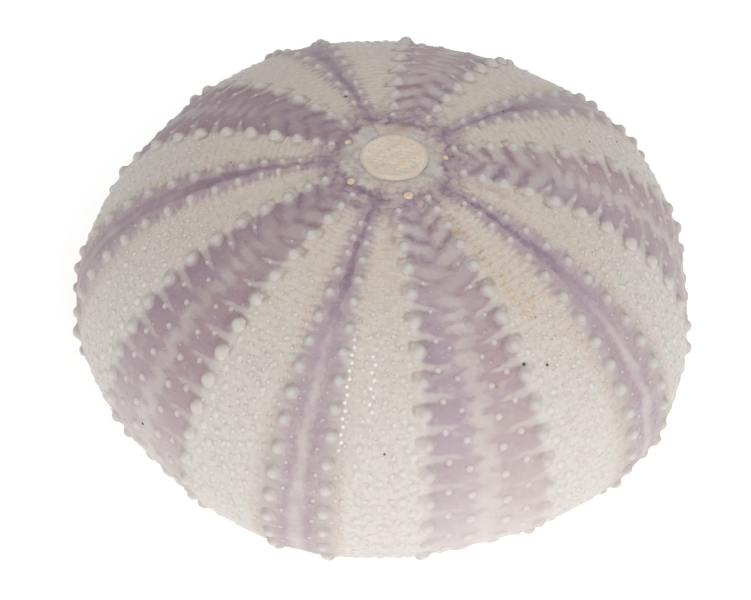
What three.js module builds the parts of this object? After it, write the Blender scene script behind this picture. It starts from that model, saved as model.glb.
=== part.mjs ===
import * as THREE from 'three';

// Sea urchin shell with its spines gone, in millimetres, +Z up. It stands mouth down.
// Polar angles run from the apex downwards. Azimuths run anticlockwise seen from above, from +X.
// Five wide plate bands alternate with five narrow ones, and one wide band faces -Y.

const girthRadius = 40;
const crownHeight = 25.9;
const footDepth = 21;
const roundness = 0.859;
const crownCurve = 0.97;
const footCurve = 0.918;
const lobing = 0.021;
const bandCount = 5;
const bandAngle = 360 / bandCount;
const wideBandAzimuth = -90;
const sway = 0.7;

const wall = 1.6;
const outerLevels = 14;
const innerSkip = 2;

const crownHoleRadius = 4.8;
const crownRingRadius = 6.5;
const crownRingSlope = 0.5;
const crownRingRise = 0.35;

const restHeight = -20;
const restRingInner = 12;
const mouthRadius = 10.2;
const mouthRise = 1;
const mouthWall = 0.9;

const membraneGap = 0.3;
const membraneThickness = 1.1;
const membraneDome = 0.5;
const membraneEdge = 0.5;
const membraneSides = 30;

// Rows of spine knobs: arc lengths from the apex in mm, angles from the middle of the band in degrees.
const rowEnd = 62;
const knobSides = 6;
const knobTopWidth = 0.5;
const wideRows = {
  start: 10.4,
  firstStep: 2.7,
  fullStep: 4.1,
  growth: 6.5,
  stagger: 0.5,
  settle: 11.7,
  spread: 5.6,
  fade: 0.16,
  knobRadius: 0.95,
  knobHeight: 0.78,
};
const narrowRows = {
  start: 17,
  firstStep: 3,
  fullStep: 3.6,
  growth: 9,
  stagger: 0.2,
  settle: 5.2,
  spread: -3.5,
  fade: 0.25,
  knobRadius: 0.8,
  knobHeight: 0.68,
};
// Half the width of the strip of facets along a row, in degrees.
const stripHalf = 3.7;
const stripFlare = 3;
const stripFade = 0.1;
const poreBandMiddle = 21.3;

const toRadians = THREE.MathUtils.degToRad;
const quarterTurn = Math.PI / 2;

function profile(polar) {
  const level = Math.cos(polar);
  const radius = girthRadius * Math.sin(polar) ** roundness;
  const height = level >= 0
    ? crownHeight * level ** crownCurve
    : -footDepth * (-level) ** footCurve;
  return { radius, height };
}

// The narrow bands stand out a little and the wide ones are drawn in.
function lobe(azimuth, polar) {
  const turn = azimuth - toRadians(wideBandAzimuth);
  return 1 - lobing * Math.cos(bandCount * turn) * Math.sin(polar) ** 2;
}

function surfacePoint(azimuth, polar) {
  const { radius, height } = profile(polar);
  const reach = radius * lobe(azimuth, polar);
  return new THREE.Vector3(reach * Math.cos(azimuth), reach * Math.sin(azimuth), height);
}

// Unit vectors at a point of the surface: down the shell, around it, and straight out.
function surfaceAxes(azimuth, polar) {
  const nudge = 0.002;
  const down = surfacePoint(azimuth, polar + nudge).sub(surfacePoint(azimuth, polar - nudge));
  const around = surfacePoint(azimuth + nudge, polar).sub(surfacePoint(azimuth - nudge, polar));
  const out = down.clone().cross(around).normalize();
  down.normalize();
  return { down, around: out.clone().cross(down), out };
}

// The polar angle where the outside curve first passes a test, found by halving.
function polarWhere(isPast, low, high) {
  let near = low;
  let far = high;
  for (let i = 0; i < 40; i += 1) {
    const middle = (near + far) / 2;
    if (isPast(profile(middle))) far = middle;
    else near = middle;
  }
  return near;
}

const crownPolar = polarWhere((p) => p.radius > crownRingRadius + crownRingSlope, 0, quarterTurn);
const restPolar = polarWhere((p) => p.height < restHeight, quarterTurn, Math.PI);

// Arc lengths along the outside curve, and the polar angle at a given arc length from the apex.
const arcTable = [0];
const arcSteps = 600;
for (let i = 1; i <= arcSteps; i += 1) {
  const before = profile(((i - 1) / arcSteps) * Math.PI);
  const here = profile((i / arcSteps) * Math.PI);
  const step = Math.hypot(here.radius - before.radius, here.height - before.height);
  arcTable.push(arcTable[i - 1] + step);
}

function polarAtArc(arc) {
  const i = arcTable.findIndex((length) => length >= arc);
  const part = (arc - arcTable[i - 1]) / (arcTable[i] - arcTable[i - 1]);
  return ((i - 1 + part) / arcSteps) * Math.PI;
}

function rowOffset(rows, polar) {
  return rows.settle + rows.spread * Math.exp(-polar / quarterTurn / rows.fade);
}

// The meridians that the facets follow within one band pair, in degrees, from the wide band's middle.
function stripEdges(polar) {
  const half = stripHalf + stripFlare * Math.exp(-polar / quarterTurn / stripFade);
  const wide = rowOffset(wideRows, polar);
  const narrow = bandAngle / 2 - rowOffset(narrowRows, polar);
  const oneSide = [wide - half, wide + half, poreBandMiddle, narrow - half];
  const otherSide = oneSide.map((edge) => bandAngle - edge).reverse();
  return [0, ...oneSide, bandAngle / 2, ...otherSide];
}

// The azimuth of a line, given its angle from the -Y band's middle. The bands crowd a little on one side.
function azimuthOf(turn) {
  return toRadians(wideBandAzimuth + turn - sway * Math.cos(toRadians(turn)));
}

function meridians(polar) {
  const azimuths = [];
  for (let band = 0; band < bandCount; band += 1) {
    for (const edge of stripEdges(polar)) azimuths.push(azimuthOf(band * bandAngle + edge));
  }
  return azimuths;
}

const points = [];
const triangles = [];

function addPoint(point, polar) {
  points.push(point);
  return { index: points.length - 1, polar };
}

function addTriangle(a, b, c) {
  triangles.push(a.index, b.index, c.index);
}

// Fills between two edges that run down the shell, the right one anticlockwise of the left one.
function stitch(left, right) {
  let i = 0;
  let j = 0;
  while (i < left.length - 1 || j < right.length - 1) {
    const leftNext = i < left.length - 1 ? left[i + 1].polar : Infinity;
    const rightNext = j < right.length - 1 ? right[j + 1].polar : Infinity;
    if (leftNext <= rightNext) {
      addTriangle(left[i], left[i + 1], right[j]);
      i += 1;
    } else {
      addTriangle(left[i], right[j + 1], right[j]);
      j += 1;
    }
  }
}

// Fills between two rings, the second one further along the way down, under and up inside.
function joinRings(upper, lower) {
  upper.forEach((corner, j) => {
    const k = (j + 1) % upper.length;
    addTriangle(corner, lower[j], lower[k]);
    addTriangle(corner, lower[k], upper[k]);
  });
}

function circle(radius, height, polar) {
  return meridians(polar).map((azimuth) => {
    const point = new THREE.Vector3(radius * Math.cos(azimuth), radius * Math.sin(azimuth), height);
    return addPoint(point, polar);
  });
}

function skinRing(polar, depth) {
  return meridians(polar).map((azimuth) => {
    const inward = surfaceAxes(azimuth, polar).out.multiplyScalar(-depth);
    return addPoint(surfacePoint(azimuth, polar).add(inward), polar);
  });
}

// A spine knob: a low bead standing on a foot that the facets around it share.
// Its foot's corners run from the one nearest the apex, down the right side and up the left.
function knob(azimuth, polar, arc, rows) {
  const centre = surfacePoint(azimuth, polar);
  const { down, around, out } = surfaceAxes(azimuth, polar);
  const youth = 1 - 0.4 * Math.exp(-(arc - wideRows.start) / 8);
  const polarPerLength = (polarAtArc(arc + 1) - polarAtArc(arc - 1)) / 2;
  const rings = [[1, 0], [knobTopWidth, rows.knobHeight * youth]].map(([width, height]) => {
    const reach = rows.knobRadius * youth * width;
    return Array.from({ length: knobSides }, (_, side) => {
      const angle = (side / knobSides) * 2 * Math.PI;
      const along = -reach * Math.cos(angle);
      const point = centre.clone()
        .addScaledVector(down, along)
        .addScaledVector(around, reach * Math.sin(angle))
        .addScaledVector(out, height);
      return addPoint(point, polar + along * polarPerLength);
    });
  });
  const [foot, top] = rings;
  foot.forEach((corner, side) => {
    const next = (side + 1) % knobSides;
    addTriangle(corner, top[side], top[next]);
    addTriangle(corner, top[next], foot[next]);
  });
  for (let side = 1; side < knobSides - 1; side += 1) addTriangle(top[0], top[side + 1], top[side]);
  return foot;
}

// The middle line of a strip: knobs from the row's first one to its last, plain points beyond them.
function knobStrip(left, right, rows, azimuthAt, lag) {
  const leftChain = [];
  const rightChain = [];
  const addPlain = (polar) => {
    const plain = addPoint(surfacePoint(azimuthAt(polar), polar), polar);
    leftChain.push(plain);
    rightChain.push(plain);
  };
  const levels = left.slice(1, -1).map((corner) => corner.polar);
  let arc = rows.start + lag * rows.firstStep;
  levels.filter((polar) => polar < polarAtArc(arc - rows.firstStep)).forEach(addPlain);
  let lastPolar = 0;
  while (arc < rowEnd) {
    const polar = polarAtArc(arc);
    const foot = knob(azimuthAt(polar), polar, arc, rows);
    const half = knobSides / 2;
    rightChain.push(...foot.slice(0, half + 1));
    leftChain.push(foot[0], ...foot.slice(half).reverse());
    const grown = 1 - Math.exp(-(arc - rows.start) / rows.growth);
    arc += rows.firstStep + (rows.fullStep - rows.firstStep) * grown;
    lastPolar = polarAtArc(arc - rows.fullStep / 2);
  }
  levels.filter((polar) => polar > lastPolar).forEach(addPlain);
  const end = left.length - 1;
  addTriangle(left[0], leftChain[0], right[0]);
  stitch(left, leftChain);
  stitch(rightChain, right);
  addTriangle(left[end], right[end], leftChain[leftChain.length - 1]);
}

// Strips between neighbouring meridians, in order from the middle of each wide band.
function outsideStrips(rings) {
  const perBand = rings[0].length / bandCount;
  const rowStrips = {
    1: { rows: wideRows, from: 0, side: 1 },
    4: { rows: narrowRows, from: bandAngle / 2, side: -1 },
    5: { rows: narrowRows, from: bandAngle / 2, side: 1 },
    8: { rows: wideRows, from: bandAngle, side: -1 },
  };
  for (let j = 0; j < rings[0].length; j += 1) {
    const left = rings.map((ring) => ring[j]);
    const right = rings.map((ring) => ring[(j + 1) % ring.length]);
    const row = rowStrips[j % perBand];
    if (row) {
      const bandStart = Math.floor(j / perBand) * bandAngle + row.from;
      const azimuthAt = (polar) => azimuthOf(bandStart + row.side * rowOffset(row.rows, polar));
      knobStrip(left, right, row.rows, azimuthAt, row.side > 0 ? 0 : row.rows.stagger);
    } else {
      stitch(left, right);
    }
  }
}

// The shell's surface: outside, rest ring, mouth edge, inside, and the edge of the crown hole.
function shellGeometry() {
  const levelPolar = (i) => crownPolar + ((restPolar - crownPolar) * i) / outerLevels;
  const crownTop = profile(crownPolar).height + crownRingRise;
  const outside = [];
  for (let i = 0; i <= outerLevels; i += 1) outside.push(skinRing(levelPolar(i), 0));
  outsideStrips(outside);
  const turnIn = [
    outside[outerLevels],
    circle(restRingInner, restHeight, restPolar),
    circle(mouthRadius, restHeight + mouthRise, restPolar),
    circle(mouthRadius, restHeight + mouthRise + mouthWall, restPolar),
  ];
  for (let i = outerLevels - 1; i > 0; i -= innerSkip) turnIn.push(skinRing(levelPolar(i), wall));
  turnIn.push(circle(crownHoleRadius, profile(crownPolar).height - wall, crownPolar));
  turnIn.push(circle(crownHoleRadius, crownTop, crownPolar));
  turnIn.push(circle(crownRingRadius, crownTop, crownPolar));
  turnIn.push(outside[0]);
  for (let i = 0; i < turnIn.length - 1; i += 1) joinRings(turnIn[i], turnIn[i + 1]);
  const geometry = new THREE.BufferGeometry().setFromPoints(points);
  geometry.setIndex(triangles);
  return geometry;
}

// The dried skin that closes the hole inside the crown ring, with its small plates.
function membraneGeometry() {
  const radius = crownHoleRadius - membraneGap;
  const rim = profile(crownPolar).height + crownRingRise - membraneEdge / 2;
  const floor = rim - membraneThickness;
  const outline = [
    [0, floor],
    [radius, floor],
    [radius, rim],
    [radius - membraneEdge, rim + membraneDome * 0.7],
    [radius * 0.5, rim + membraneDome * 0.95],
    [0, rim + membraneDome],
  ];
  const profilePoints = outline.map(([across, up]) => new THREE.Vector2(across, up));
  return new THREE.LatheGeometry(profilePoints, membraneSides).rotateX(quarterTurn);
}

const shell = new THREE.Mesh(
  shellGeometry(),
  new THREE.MeshStandardMaterial({ color: 0xc9bcc8, roughness: 0.6, metalness: 0 }),
);
shell.name = 'shell';

const membrane = new THREE.Mesh(
  membraneGeometry(),
  new THREE.MeshStandardMaterial({ color: 0xe2d8c4, roughness: 0.75, metalness: 0 }),
);
membrane.name = 'crown_membrane';

// The origin is under the middle of the shell's own width, on the plane that it stands on.
const urchin = new THREE.Group();
urchin.add(shell, membrane);
shell.geometry.computeBoundingBox();
const middle = shell.geometry.boundingBox.getCenter(new THREE.Vector3());
urchin.position.set(-middle.x, -middle.y, -restHeight);

export default urchin;
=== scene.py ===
import math

import bpy
import numpy as np
from mathutils import Matrix, Vector


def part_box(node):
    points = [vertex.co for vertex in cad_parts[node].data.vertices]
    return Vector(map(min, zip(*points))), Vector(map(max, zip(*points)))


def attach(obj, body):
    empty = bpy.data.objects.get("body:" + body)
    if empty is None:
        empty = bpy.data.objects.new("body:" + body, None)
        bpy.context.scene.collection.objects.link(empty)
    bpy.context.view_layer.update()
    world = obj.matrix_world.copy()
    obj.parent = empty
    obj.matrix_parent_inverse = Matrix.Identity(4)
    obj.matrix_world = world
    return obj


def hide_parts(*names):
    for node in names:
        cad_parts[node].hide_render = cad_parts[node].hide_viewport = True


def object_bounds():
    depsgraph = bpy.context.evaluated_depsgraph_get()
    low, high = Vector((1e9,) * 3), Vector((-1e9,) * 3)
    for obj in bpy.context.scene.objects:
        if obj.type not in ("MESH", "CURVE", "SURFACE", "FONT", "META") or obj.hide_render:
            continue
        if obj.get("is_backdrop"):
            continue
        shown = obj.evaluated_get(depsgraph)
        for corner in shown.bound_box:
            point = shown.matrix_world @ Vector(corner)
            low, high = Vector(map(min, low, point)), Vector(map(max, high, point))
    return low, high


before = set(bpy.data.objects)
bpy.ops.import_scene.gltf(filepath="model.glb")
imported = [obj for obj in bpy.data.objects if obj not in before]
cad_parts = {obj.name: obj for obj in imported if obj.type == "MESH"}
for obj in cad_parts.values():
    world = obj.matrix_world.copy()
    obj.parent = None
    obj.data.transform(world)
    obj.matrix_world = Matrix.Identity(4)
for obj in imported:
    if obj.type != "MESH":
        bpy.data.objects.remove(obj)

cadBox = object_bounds()
mm = 0.001

# The shell's own curve, in mm, with angles in degrees. Polar angles run down from the apex.
shellShape = {
    "girthRadius": 40.0,
    "crownHeight": 25.9,
    "footDepth": 21.0,
    "roundness": 0.859,
    "crownCurve": 0.97,
    "footCurve": 0.918,
    "lobing": 0.021,
    "bands": 5,
    "bandAngle": 72.0,
    "wideAzimuth": -90.0,
    "sway": 0.7,
    "restDepth": 20.0,
    "lastArc": 95.0,       # how far down the plates are counted
    "crowdFrom": 62.0,     # from this arc on the plates crowd together towards the mouth
    "crowdOver": 20.0,
    "crowdShare": 0.35,
    "earlyPlates": 8,      # plates counted above the first knob, and how close they lie
    "earlyStep": 0.8,
}
# The rows of big knobs: arcs in mm from the apex, offsets in degrees from the band's middle.
wideRow = {"start": 10.4, "first": 2.7, "full": 4.1, "growth": 6.5, "stagger": 0.5,
           "settle": 11.7, "spread": 5.6, "fade": 0.16}
narrowRow = {"start": 17.0, "first": 3.0, "full": 3.6, "growth": 9.0, "stagger": 0.2,
             "settle": 5.2, "spread": -3.5, "fade": 0.25}

crownLow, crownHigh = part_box("crown_membrane")
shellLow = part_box("shell")[0]
axisX = (crownLow.x + crownHigh.x) / 2 / mm
axisY = (crownLow.y + crownHigh.y) / 2 / mm
girthZ = shellLow.z / mm + shellShape["restDepth"]


def profile(polar):
    level = np.cos(polar)
    radius = shellShape["girthRadius"] * np.sin(polar) ** shellShape["roundness"]
    crown = shellShape["crownHeight"] * np.abs(level) ** shellShape["crownCurve"]
    foot = -shellShape["footDepth"] * np.abs(level) ** shellShape["footCurve"]
    return radius, np.where(level >= 0, crown, foot)


def surface(turn, polar):
    # turn is the angle in degrees from the middle of the band that faces -Y
    azimuth = np.radians(shellShape["wideAzimuth"] + turn
                         - shellShape["sway"] * np.cos(np.radians(turn)))
    radius, height = profile(polar)
    swing = azimuth - math.radians(shellShape["wideAzimuth"])
    lobe = 1 - shellShape["lobing"] * np.cos(shellShape["bands"] * swing) * np.sin(polar) ** 2
    reach = radius * lobe
    return np.stack([axisX + reach * np.cos(azimuth), axisY + reach * np.sin(azimuth),
                     girthZ + height + 0 * azimuth], -1)


def surfaceAxes(turn, polar):
    nudge = 0.002
    down = surface(turn, polar + nudge) - surface(turn, polar - nudge)
    around = surface(turn + nudge, polar) - surface(turn - nudge, polar)
    out = np.cross(down, around)
    out /= np.linalg.norm(out, axis=-1, keepdims=True)
    down /= np.linalg.norm(down, axis=-1, keepdims=True)
    return down, np.cross(out, down), out


polarTable = np.linspace(0, math.pi, 4001)
tableRadius, tableHeight = profile(polarTable)
arcTable = np.concatenate([[0], np.cumsum(np.hypot(np.diff(tableRadius), np.diff(tableHeight)))])


def polarAt(arc):
    return np.interp(arc, arcTable, polarTable)


restArc = float(np.interp(shellShape["restDepth"], -tableHeight, arcTable))
restRadius = float(profile(polarAt(restArc))[0])


def rowArcs(row):
    # where plate middles fall: close together near the crown and again towards the mouth
    arcs = [row["start"]]
    while arcs[-1] < shellShape["lastArc"]:
        grown = 1 - math.exp(-(arcs[-1] - row["start"]) / row["growth"])
        step = row["first"] + (row["full"] - row["first"]) * grown
        crowded = min(1, max(0, (arcs[-1] - shellShape["crowdFrom"]) / shellShape["crowdOver"]))
        arcs.append(arcs[-1] + step * (1 - shellShape["crowdShare"] * crowded))
    early = range(1, shellShape["earlyPlates"] + 1)
    before = [row["start"] - row["first"] * shellShape["earlyStep"] * k for k in early]
    return np.array(before[::-1] + arcs), -len(before)


rowArcsWide, firstWide = rowArcs(wideRow)
rowArcsNarrow, firstNarrow = rowArcs(narrowRow)


def plateAt(arc, arcs, first):
    return np.interp(arc, arcs, np.arange(len(arcs)) + first)


def arcAtPlate(plate, arcs, first):
    return np.interp(plate, np.arange(len(arcs)) + first, arcs)


def rowOffset(row, polar):
    return row["settle"] + row["spread"] * np.exp(-polar / (math.pi / 2) / row["fade"])


def makerNoise(points, scale, seed):
    # smooth repeatable unevenness from a few crossed waves, about -1 to 1
    draw = np.random.default_rng(seed)
    total = np.zeros(len(points))
    for _ in range(7):
        direction = draw.normal(size=3)
        direction *= draw.uniform(0.6, 1.5) / (scale * np.linalg.norm(direction))
        total += np.sin(points @ direction + draw.uniform(0, 6.3))
    return total / 4


def clearSelection():
    bpy.ops.object.select_all(action="DESELECT")


def setCoordinates(piece, points):
    piece.data.vertices.foreach_set("co", (points * mm).astype(np.float32).ravel())
    piece.data.update()


def getCoordinates(piece):
    flat = np.zeros(len(piece.data.vertices) * 3, np.float32)
    piece.data.vertices.foreach_get("co", flat)
    return flat.reshape(-1, 3).astype(float)


def storeVector(piece, name, columns):
    layer = piece.data.attributes.new(name, "FLOAT_VECTOR", "POINT")
    values = np.stack([np.broadcast_to(c, columns[0].shape) for c in columns], -1)
    layer.data.foreach_set("vector", values.astype(np.float32).ravel())


def storeGrowth(piece, arc, tip, pearl):
    # what the material reads: place along the shell, the plates there, and on a knob its height
    # and how white it is
    polar = polarAt(arc)
    radius = profile(polar)[0]
    storeVector(piece, "place", [arc, radius, tip])
    storeVector(piece, "plates", [plateAt(arc, rowArcsWide, firstWide),
                                  plateAt(arc, rowArcsNarrow, firstNarrow), arc * 0])
    storeVector(piece, "rows", [rowOffset(wideRow, polar), rowOffset(narrowRow, polar), pearl])


def finishPiece(piece, name, material, replaced):
    piece.name = name
    piece.data.name = name
    piece.data.materials.clear()
    piece.data.materials.append(material)
    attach(piece, "root")
    if replaced:
        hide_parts(replaced)
    print("made", name, len(piece.data.polygons), "faces")


# The shell's skin is one closed surface. Sizes in mm.
skin = {
    "around": 560,
    "rowSteps": ((64, 0.85), (9, 0.5), (7.4, 0.27)),    # down to this arc, rows this far apart
    "innerRows": 16,
    "wall": 1.6,
    "crownRows": (7.25, 7.2),    # arcs at which the crown ring starts outside and inside
    # radius and rise of the crown ring's rows, then of the rows round the mouth's edge
    "crownRing": ((7.0, 0.06), (6.75, 0.13), (6.45, 0.2), (6.05, 0.25), (5.6, 0.27), (5.2, 0.28),
                  (4.85, 0.27), (4.6, 0.24), (4.35, 0.14), (4.12, -0.1), (4.12, -0.8)),
    "mouthEdge": ((12.6, 1.68), (11.2, 1.62), (10.5, 1.5), (10.25, 1.25), (10.15, 0.9), (10.3, 0.5),
                  (10.7, 0.2), (11.3, 0.05), (12.1, 0.0), (13.2, 0.0), (14.2, 0.0)),
    "crownShift": (0.33, 0.25),
    "shiftRadii": (6.6, 5.0),    # between these the ring moves over to the membrane's middle
    "bossHeight": 0.2,
    "bossWidth": 1.05,
    "youngBoss": 0.55,
    "seamDepth": 0.07,
    "seamWidth": 0.09,           # in plates
    "middleWidth": 0.45,
    "poreBandSink": 0.12,
    "poreBandFrom": 6.2,         # degrees from a narrow band's middle
    "poreBandTo": 20.0,
    "ridgeGap": 4.4,
    "smoothAtMouth": 8.0,
    "waves": ((0.06, 6.0, 3), (0.03, 1.6, 4)),    # height, spacing and seed
    "notchDepth": 0.55,    # ten shallow notches in the mouth's edge
    "notchWidth": 3.2,
    "notchOffset": 21.0,
}


def bandPlace(turn):
    # signed degrees from the nearest wide band's middle, and from the nearest narrow band's
    whole = shellShape["bandAngle"]
    wide = (turn + whole / 2) % whole - whole / 2
    narrow = (turn + whole) % whole - whole / 2
    return wide, narrow


def skinRelief(turn, arc):
    polar = polarAt(arc)
    radius = profile(polar)[0]
    wide, narrow = bandPlace(turn)
    degree = radius * math.pi / 180
    relief = np.zeros_like(arc)
    for offset, row, arcs, first, height in (
            (wide, wideRow, rowArcsWide, firstWide, 1.0),
            (narrow, narrowRow, rowArcsNarrow, firstNarrow, 0.75)):
        plate = plateAt(arc, arcs, first) + row["stagger"] * (offset < 0)
        whole = np.round(plate)
        along = (arcAtPlate(whole - row["stagger"] * (offset < 0), arcs, first) - arc)
        across = (np.abs(offset) - rowOffset(row, polar)) * degree
        size = skin["youngBoss"] + (1 - skin["youngBoss"]) * np.clip((arc - 9) / 18, 0, 1)
        boss = np.exp(-(across ** 2 + along ** 2) / (skin["bossWidth"] * size) ** 2)
        relief += skin["bossHeight"] * height * size * boss * (arc > row["start"] - 4)
        inside = np.clip(1.15 - np.abs(offset) / rowOffset(row, polar), 0, 0.15) / 0.15
        seam = np.exp(-((np.abs(plate - whole) - 0.5) / skin["seamWidth"]) ** 2)
        middle = np.exp(-(offset * degree / skin["middleWidth"]) ** 2)
        relief -= skin["seamDepth"] * inside * np.maximum(seam, middle)
    fromNarrow = np.abs(narrow)
    poreBand = np.clip((fromNarrow - skin["poreBandFrom"]) / 1.5, 0, 1)
    poreBand = poreBand * np.clip((skin["poreBandTo"] - fromNarrow) / 3, 0, 1)
    ridge = np.cos((fromNarrow - 6.5) / skin["ridgeGap"] * 2 * math.pi)
    relief -= skin["poreBandSink"] * poreBand * (0.8 + 0.35 * ridge) * np.clip((arc - 8) / 10, 0, 1)
    return relief * np.clip((restArc - arc) / skin["smoothAtMouth"], 0, 1)


def skinStations():
    # one closed loop: up the outside, over the crown ring, down the inside, round the mouth's edge
    loop = []
    begin = restArc
    for stop, step in skin["rowSteps"]:
        loop += [("out", arc, 0.0) for arc in np.arange(begin, stop, -step)]
        begin = stop
    crownZ = float(profile(polarAt(skin["crownRows"][0]))[1]) + girthZ
    loop += [("ring", radius, crownZ + rise) for radius, rise in skin["crownRing"]]
    innerArcs = np.linspace(skin["crownRows"][1], restArc, skin["innerRows"])
    loop += [("in", arc, skin["wall"]) for arc in innerArcs]
    loop += [("mouth", radius, shellLow.z / mm + rise) for radius, rise in skin["mouthEdge"]]
    return loop


def makeSkin(material):
    loop = skinStations()
    bpy.ops.mesh.primitive_torus_add(major_segments=skin["around"], minor_segments=len(loop),
                                     major_radius=1.0, minor_radius=0.4)
    piece = bpy.context.object
    start = getCoordinates(piece)
    around = np.degrees(np.arctan2(start[:, 1], start[:, 0]))
    column = np.round(around / 360 * skin["around"]).astype(int) % skin["around"]
    turn = column * 360 / skin["around"]
    across = np.hypot(start[:, 0], start[:, 1]) - 1.0
    height = np.round(np.arctan2(start[:, 2], across) / (2 * math.pi) * len(loop)).astype(int)
    station = height % len(loop)
    points = np.zeros((len(start), 3))
    arcs = np.zeros(len(start))
    shiftX, shiftY = skin["crownShift"]
    shiftFrom, shiftTo = skin["shiftRadii"]
    for index, (kind, first, second) in enumerate(loop):
        chosen = station == index
        turns = turn[chosen]
        if kind in ("ring", "mouth"):
            azimuth = np.radians(shellShape["wideAzimuth"] + turns
                                 - shellShape["sway"] * np.cos(np.radians(turns)))
            drawn = np.clip((shiftFrom - first) / (shiftFrom - shiftTo), 0, 1)
            reach = first
            if kind == "mouth":
                fromNotch = np.abs(np.abs(bandPlace(turns)[0]) - skin["notchOffset"])
                notch = np.exp(-(fromNotch / skin["notchWidth"]) ** 2)
                reach = first + skin["notchDepth"] * notch * np.clip((12.4 - first) / 1.8, 0, 1)
            points[chosen] = np.stack([axisX + shiftX * drawn + reach * np.cos(azimuth),
                                       axisY + shiftY * drawn + reach * np.sin(azimuth),
                                       np.full(len(turns), second)], -1)
            arcs[chosen] = first if kind == "ring" else restArc + restRadius - first
        else:
            arc = np.full(len(turns), first)
            out = surfaceAxes(turns, polarAt(arc))[2]
            lift = skinRelief(turns, arc) if kind == "out" else -second * np.ones(len(turns))
            points[chosen] = surface(turns, polarAt(arc)) + out * lift[:, None]
            arcs[chosen] = first
    outside = np.array([kind == "out" for kind, _, _ in loop])[station]
    waves = sum(height * makerNoise(points, gap, seed) for height, gap, seed in skin["waves"])
    inward = points - np.array([axisX, axisY, girthZ])
    inward /= np.linalg.norm(inward, axis=1, keepdims=True)
    fade = np.clip((points[:, 2] - shellLow.z / mm) / 6, 0, 1) * outside
    points += inward * (waves * fade)[:, None]
    setCoordinates(piece, points)
    inner = np.array([kind == "in" for kind, _, _ in loop])[station]
    storeGrowth(piece, arcs, np.where(inner, -1.0, 0.0), 0.0 * arcs)
    clearSelection()
    piece.select_set(True)
    bpy.ops.object.shade_smooth()
    finishPiece(piece, "shellSkin", material, "shell")
    return piece


# Each knob is modelled once, then set out along the plates.
# Outline pairs are radius and height over the surface, for a knob of size 1 (mm).
knobShapes = {
    "big": {"sides": 12, "outline": [(1.32, -0.28), (1.04, -0.03), (0.83, 0.11), (0.7, 0.28),
                                     (0.55, 0.45), (0.34, 0.58)], "top": 0.63, "pearl": 1.0},
    "middling": {"sides": 9, "outline": [(1.45, -0.3), (1.2, -0.05), (0.88, 0.18), (0.48, 0.35)],
                 "top": 0.41, "pearl": 0.2},
    "small": {"sides": 7, "outline": [(1.5, -0.3), (1.36, -0.06), (0.85, 0.12)], "top": 0.21,
              "pearl": 0.0},
    "plug": {"sides": 16, "outline": [(1.15, -0.3), (1.08, 0.1), (0.92, 0.26), (0.55, 0.38)],
             "top": 0.42, "pearl": 0.0},
    "grain": {"sides": 6, "outline": [(1.0, -0.3), (0.85, 0.2)], "top": 0.36, "pearl": 0.0},
}
knobSetting = {
    "bedding": 0.8,        # share of the skin's relief that a knob follows
    "lean": 0.04,
    "sizeVaries": 0.05,
    "wornFrom": 62.0,      # knobs get smaller from this arc on
    "wornOver": 18.0,
    "wornShare": 0.2,
    "lowest": 0.1,         # height left to a knob that has no room over the floor
    "seed": 11,
}


def modelKnob(shape):
    # a cylinder drawn in ring by ring to the outline, closed by its own cap
    outline = shape["outline"]
    bpy.ops.mesh.primitive_circle_add(vertices=shape["sides"], radius=outline[0][0] * mm,
                                      fill_type="NGON")
    piece = bpy.context.object
    bpy.ops.object.mode_set(mode="EDIT")
    bpy.ops.mesh.select_all(action="SELECT")
    bpy.ops.transform.translate(value=(0, 0, outline[0][1] * mm))
    for before, after in zip(outline, outline[1:]):
        bpy.ops.mesh.extrude_edges_move(
            TRANSFORM_OT_translate={"value": (0, 0, (after[1] - before[1]) * mm)})
        bpy.ops.transform.resize(value=(after[0] / before[0], after[0] / before[0], 1),
                                 center_override=(0, 0, 0))
    bpy.ops.mesh.extrude_edges_move(
        TRANSFORM_OT_translate={"value": (0, 0, (shape["top"] - outline[-1][1]) * mm)})
    bpy.ops.mesh.merge(type="CENTER")
    bpy.ops.mesh.select_all(action="SELECT")
    bpy.ops.mesh.normals_make_consistent(inside=False)
    bpy.ops.object.mode_set(mode="OBJECT")
    points = getCoordinates(piece) / mm
    faces = [list(face.vertices) for face in piece.data.polygons]
    bpy.data.objects.remove(piece)
    return points, faces


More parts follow.
